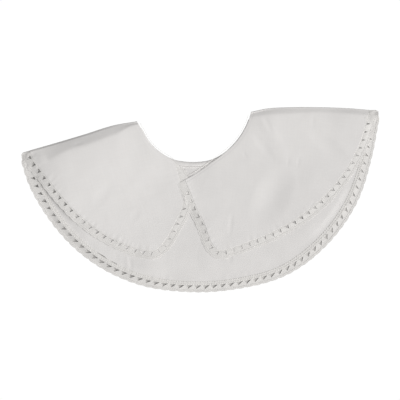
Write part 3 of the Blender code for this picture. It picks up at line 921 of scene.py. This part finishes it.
for side, front in FRONTS.items():
    fold, rim = folds[side], rims[side]

    def level_at(places, depth, repeat):
        """The lace is level with the cloth beside it, and at its outer edge rests on what is below."""
        resting = back_form(places) + CLOTH / 2 + LACE_REST
        if side == "right":
            resting = resting + LEFT_FRONT_STACK * on_left_front(places, STACK_REACH)
        out = 1.0 - smooth((depth - SAG_EDGE) / SAG_REACH)
        flutter = LACE_FLUTTER * np.sin(repeat * LACE_PACE + PACE_DRIFT * np.sin(repeat * DRIFT_PACE)) * out
        gathers = puckers(rim, places, reach=11.0, height=0.25, seed=13.0)
        beside_cloth = front_level(side, places)
        by_fold = 1.0 - smooth((fold.distance(places) - BY_FOLD) / FOLD_REACH)
        sag = np.clip(beside_cloth - resting, 0.0, np.interp(by_fold, *zip(*front["sag"]))) * out
        loose = crumple(places, size=7.0, height=0.6, seed=41.0) * by_fold
        return beside_cloth - sag + flutter + gathers + loose

    line = at_lengths(rim, np.linspace(fold.leave(rim, PLAIN_LACE), lengths_along(rim)[-1], FINE))
    neck_run = unit(necks[side][-1] - necks[side][-2])
    inner, outer = lace_edges(line, front["side"], FRONT_LACE_SHOWN, fold.along, neck_run)
    wider = np.interp(np.linspace(0.0, 1.0, FINE), *zip(*front["wider"]))
    outer = outer + unit(outer - inner) * wider[:, None]
    lace = Lace(
        inner, outer, FRONT_LACE_THICKNESS, front["holes"], front["hole_tip"], level_at, front["plain"]
    )
    bm = bmesh.new()
    lace.add_to(bm)
    across = np.linspace(0.0, 1.0, WRAP_COLUMNS)[:, None]
    seam_end = at_lengths(hem_from[side], [fold.leave(hem_from[side], SEAM_INSET)])[0]
    sections = [with_level(seam_end + fold.along * (SEAM_GAP + LACE_WIDTH * across), BACK_LEVEL)]
    for inward, level in fold_arc(FOLD_RADIUS):
        place = at_lengths(rim, [fold.leave(rim, inward)])[0]
        shown = FRONT_LACE_SHOWN - CORNER * (1.0 - smooth(inward / FOLD_RADIUS) / 2)
        sections.append(with_level(place + fold.along * (SEAM_GAP + shown * across), level))
    depths = FRONT_LACE_SHOWN * (1.0 - across[:, 0])
    sections.append(lace.points(np.zeros_like(depths), depths))
    wrap = add_grid(bm, np.array(sections))
    bmesh.ops.recalc_face_normals(bm, faces=wrap)
    bmesh.ops.solidify(bm, geom=wrap, thickness=FRONT_LACE_THICKNESS * MM)
    strip = piece(f"{side}_front_lace_strip", bm, lace_yarn, sharp=70.0)
    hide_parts(f"{side}_front_lace")

# The stitching
# White sewing cotton in short straight stitches: one row inside the neck edge of each front, two along the
# header of the hem lace, and one along the lower edge of the binding.

STITCH, STITCH_PITCH, THREAD = 2.0, 3.0, 0.22  # length, from one to the next, and radius of the thread
STITCH_ARCH = (-0.9, 0.35, 0.6, 0.35, -0.9)  # heights along a stitch, in radii of the thread
ROW_START = 0.6  # from the end of a line to its first stitch
NECK_ROW_END = 3.0  # the rows on the fronts stop this far from the fold and from the opening
HEADER_ROWS = (HOLE_BASE + 1.25, LACE_WIDTH - 0.9)  # depth in the lace of its two rows
ON_HEADER = 0.05  # above the header's own level, clear of its ribs
BINDING_ROW, ON_BINDING = 6.0, 1.0  # in from the neck edge, and above the middle of the back's cloth


def add_row(bm, line, level_at):
    """One row of stitches on a line, each a short arch that dips into the cloth at its ends."""
    length = lengths_along(line)[-1]
    for start in np.arange(ROW_START, length - STITCH, STITCH_PITCH):
        places = at_lengths(line, start + STITCH * np.linspace(0.0, 1.0, len(STITCH_ARCH)))
        arch = THREAD * np.array(STITCH_ARCH)
        add_cord(bm, with_level(places, level_at(places) + arch), THREAD)


thread = cotton_yarn("White sewing cotton", "#F0EEEA", "#E6E3DF")
bm = bmesh.new()
for side in FRONTS:
    inside = FRONTS[side]["side"] * square_to(necks[side], -1)
    row = necks[side] + inside * STITCHES_IN
    start, end = folds[side].leave(row, NECK_ROW_END), lengths_along(row)[-1] - NECK_ROW_END
    row = at_lengths(row, np.linspace(start, end, FINE))
    add_row(bm, row, lambda places: front_cloth_level(side, places) + CLOTH / 2)
piece("neck_edge_stitches", bm, thread)


def on_header(depth):
    """The height of a row of stitches at this depth in the hem lace."""
    return lambda places: hem_lace_level(places, np.full(len(places), depth), 0.0) + ON_HEADER


bm = bmesh.new()
for depth in HEADER_ROWS:
    row = hem_line + square_to(hem_line, -1) * (SEAM_GAP + LACE_WIDTH - depth)
    add_row(bm, row, on_header(depth))
piece("hem_stitches", bm, thread)

bm = bmesh.new()
binding_row = binding_line + into_cloth * BINDING_ROW
add_row(bm, binding_row, lambda places: np.full(len(places), BACK_LEVEL + ON_BINDING))
piece("binding_stitches", bm, thread)

# The table, the light and the camera
# The collar is a cut-out on white, lit by one large soft lamp from the lower right and by pale walls, seen
# from straight above. Under the collar a grey sheet on the table is painted shade, standing in for the shadow
# there, so that the holes of the lace show dark.

floor = bpy.data.meshes.new("table_top")
half = 8.0  # metres
corners = [(-half, -half, 0.0), (half, -half, 0.0), (half, half, 0.0), (-half, half, 0.0)]
floor.from_pydata(corners, [], [range(len(corners))])
table = bpy.data.objects.new("table_top", floor)
bpy.context.scene.collection.objects.link(table)
paper = bpy.data.materials.new("White paper")
paper.use_nodes = True
paper_shader = paper.node_tree.nodes["Principled BSDF"]
paper_shader.inputs["Base Color"].default_value = (0.0, 0.0, 0.0, 1.0)
paper_shader.inputs["Specular IOR Level"].default_value = 0.0
paper_shader.inputs["Emission Color"].default_value = linear("#FFFFFF")
paper_shader.inputs["Emission Strength"].default_value = 1.02
paper.cycles.emission_sampling = "NONE"  # the table is white to the eye, and is no lamp
floor.materials.append(paper)
table.visible_diffuse = False

GREY_INSET, GREY_NECK_INSET = 2.6, 4.0  # the grey painted shade ends this far inside the edge of the lace and the neck edge
GREY_HEIGHT = 0.02  # above the white
GREY_EVERY = 8  # of the points on those edges
NECK_ENDS = 20  # points of the neck edge that are left out at each fold
grey_hem = hem_line + square_to(hem_line, -1) * (SEAM_GAP + LACE_WIDTH - GREY_INSET)
grey_neck = back_neck + square_to(back_neck, -1) * GREY_NECK_INSET
outline = [*grey_hem[::GREY_EVERY], grey_hem[-1], *grey_neck[-NECK_ENDS:NECK_ENDS:-GREY_EVERY]]
# The grey sheet is painted shade: it stands in for the shadow under the collar, so that the holes of the lace
# show dark.
under = bpy.data.meshes.new("painted_shade_under_collar")
under.from_pydata([(x * MM, y * MM, GREY_HEIGHT * MM) for x, y in outline], [], [range(len(outline))])
shade = bpy.data.objects.new("painted_shade_under_collar", under)
bpy.context.scene.collection.objects.link(shade)
grey = bpy.data.materials.new("Painted shade under the collar")
grey.use_nodes = True
grey.node_tree.nodes["Principled BSDF"].inputs["Base Color"].default_value = linear("#D2D0CE")
grey.node_tree.nodes["Principled BSDF"].inputs["Roughness"].default_value = 0.9
under.materials.append(grey)

world = bpy.data.worlds.new("Pale room")
bpy.context.scene.world = world
world.use_nodes = True
world.node_tree.nodes["Background"].inputs["Strength"].default_value = 0.36
way = add_node(world, "ShaderNodeTexCoord")
height = add_node(world, "ShaderNodeSeparateXYZ", links={"Vector": way.outputs["Generated"]})
above = add_node(
    world, "ShaderNodeMapRange", {"From Min": -0.05, "From Max": 0.05, "To Min": 0.1},
    {"Value": height.outputs["Z"]},
)
world.node_tree.links.new(above.outputs["Result"], world.node_tree.nodes["Background"].inputs["Color"])

KEY_AZIMUTH, KEY_HEIGHT = -24.0, 26.0  # degrees: from which side, and above the table
lamp = bpy.data.lights.new("Soft lamp", "SUN")
lamp.energy = 3.65
lamp.angle = math.radians(60.0)
lamp.color = linear("#FFFEFC")[:3]
key = bpy.data.objects.new("Soft lamp", lamp)
key.rotation_euler = (0.0, math.radians(90.0 - KEY_HEIGHT), math.radians(KEY_AZIMUTH))
bpy.context.scene.collection.objects.link(key)

PHOTO_WIDTH = 500.0  # millimetres across the photo at the height of the table
LENS, SENSOR = 100.0, 36.0
camera = bpy.data.cameras.new("Camera")
camera.lens, camera.sensor_width = LENS, SENSOR
camera.clip_end = 100.0
viewer = bpy.data.objects.new("Camera", camera)
viewer.location = (0.0, 0.0, PHOTO_WIDTH * MM * LENS / SENSOR)
bpy.context.scene.collection.objects.link(viewer)
bpy.context.scene.camera = viewer
bpy.context.scene.view_settings.view_transform = "Standard"
